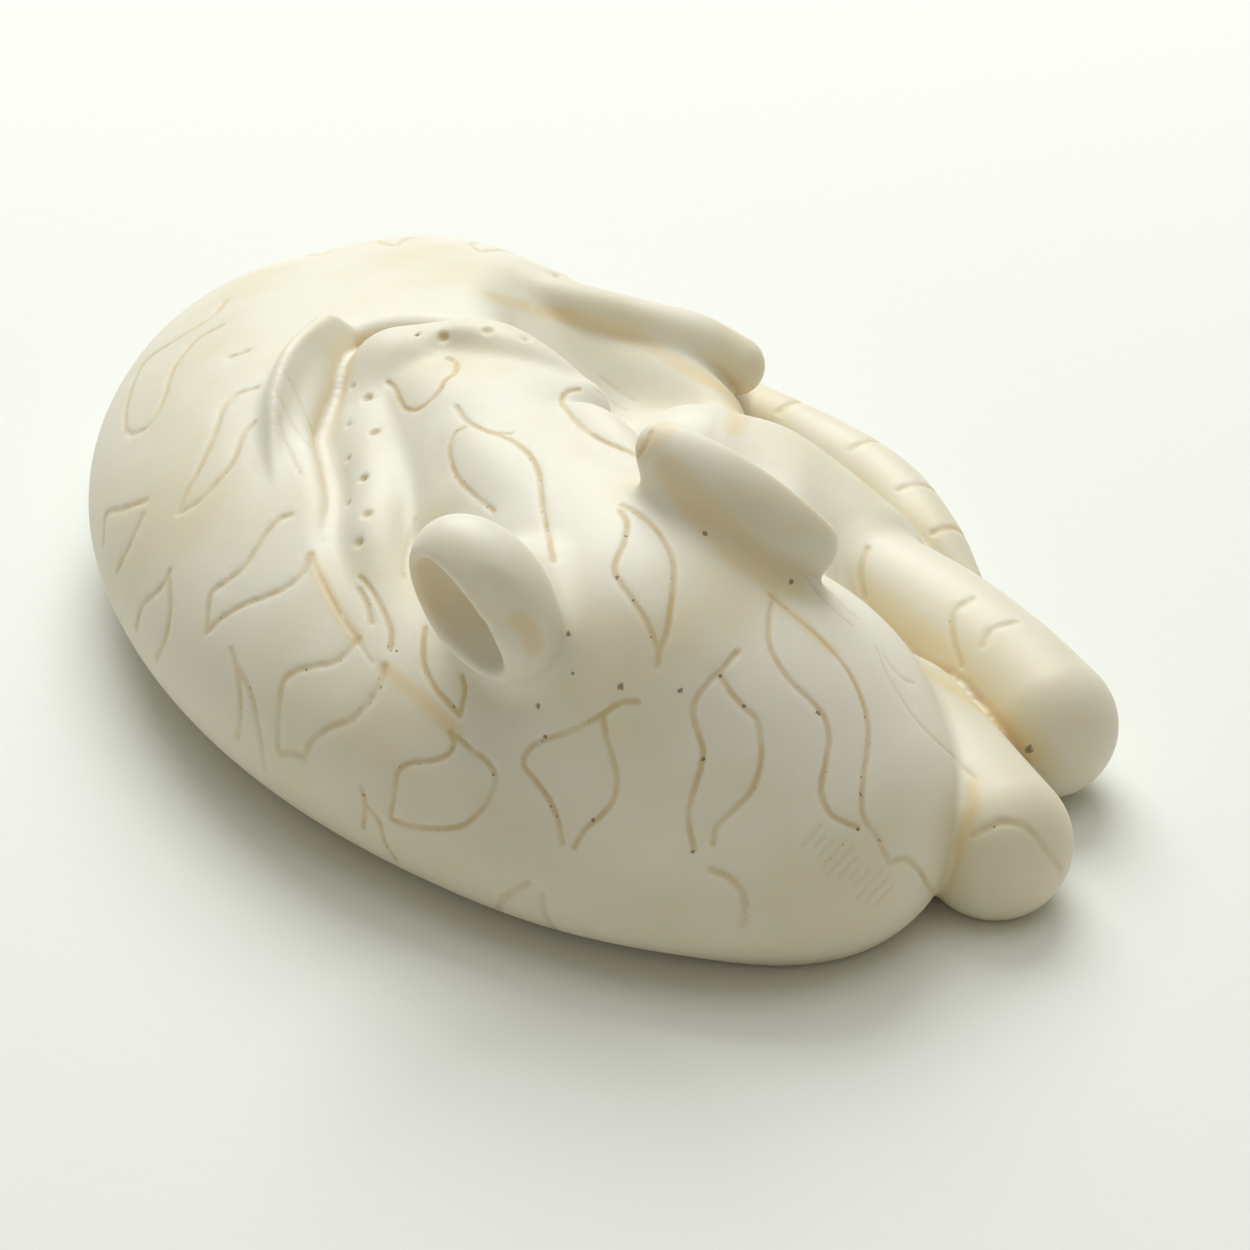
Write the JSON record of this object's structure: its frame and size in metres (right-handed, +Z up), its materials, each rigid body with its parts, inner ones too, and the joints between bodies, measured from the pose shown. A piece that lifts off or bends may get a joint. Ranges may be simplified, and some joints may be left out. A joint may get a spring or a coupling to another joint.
{
  "type": "okimono",
  "caption": "Small carved okimono of a sleeping tiger, curled up with its head laid back on its flank; one solid piece that lies on its flat underside.",
  "frame": {"origin": "centre of the bounding box's bottom face, on the surface that the figure lies on", "axes": "+X along the figure towards the forepaws, +Y across it towards the tail's side, away from the spine, +Z up"},
  "size_m": [0.0552, 0.0392, 0.0181],
  "materials": {
    "tiger": "satin cream bone-like material, polished smooth, with tan stain in the carved lines"
  },
  "bodies": {
    "root": {"tiger": "tiger"}
  },
  "joints": []
}
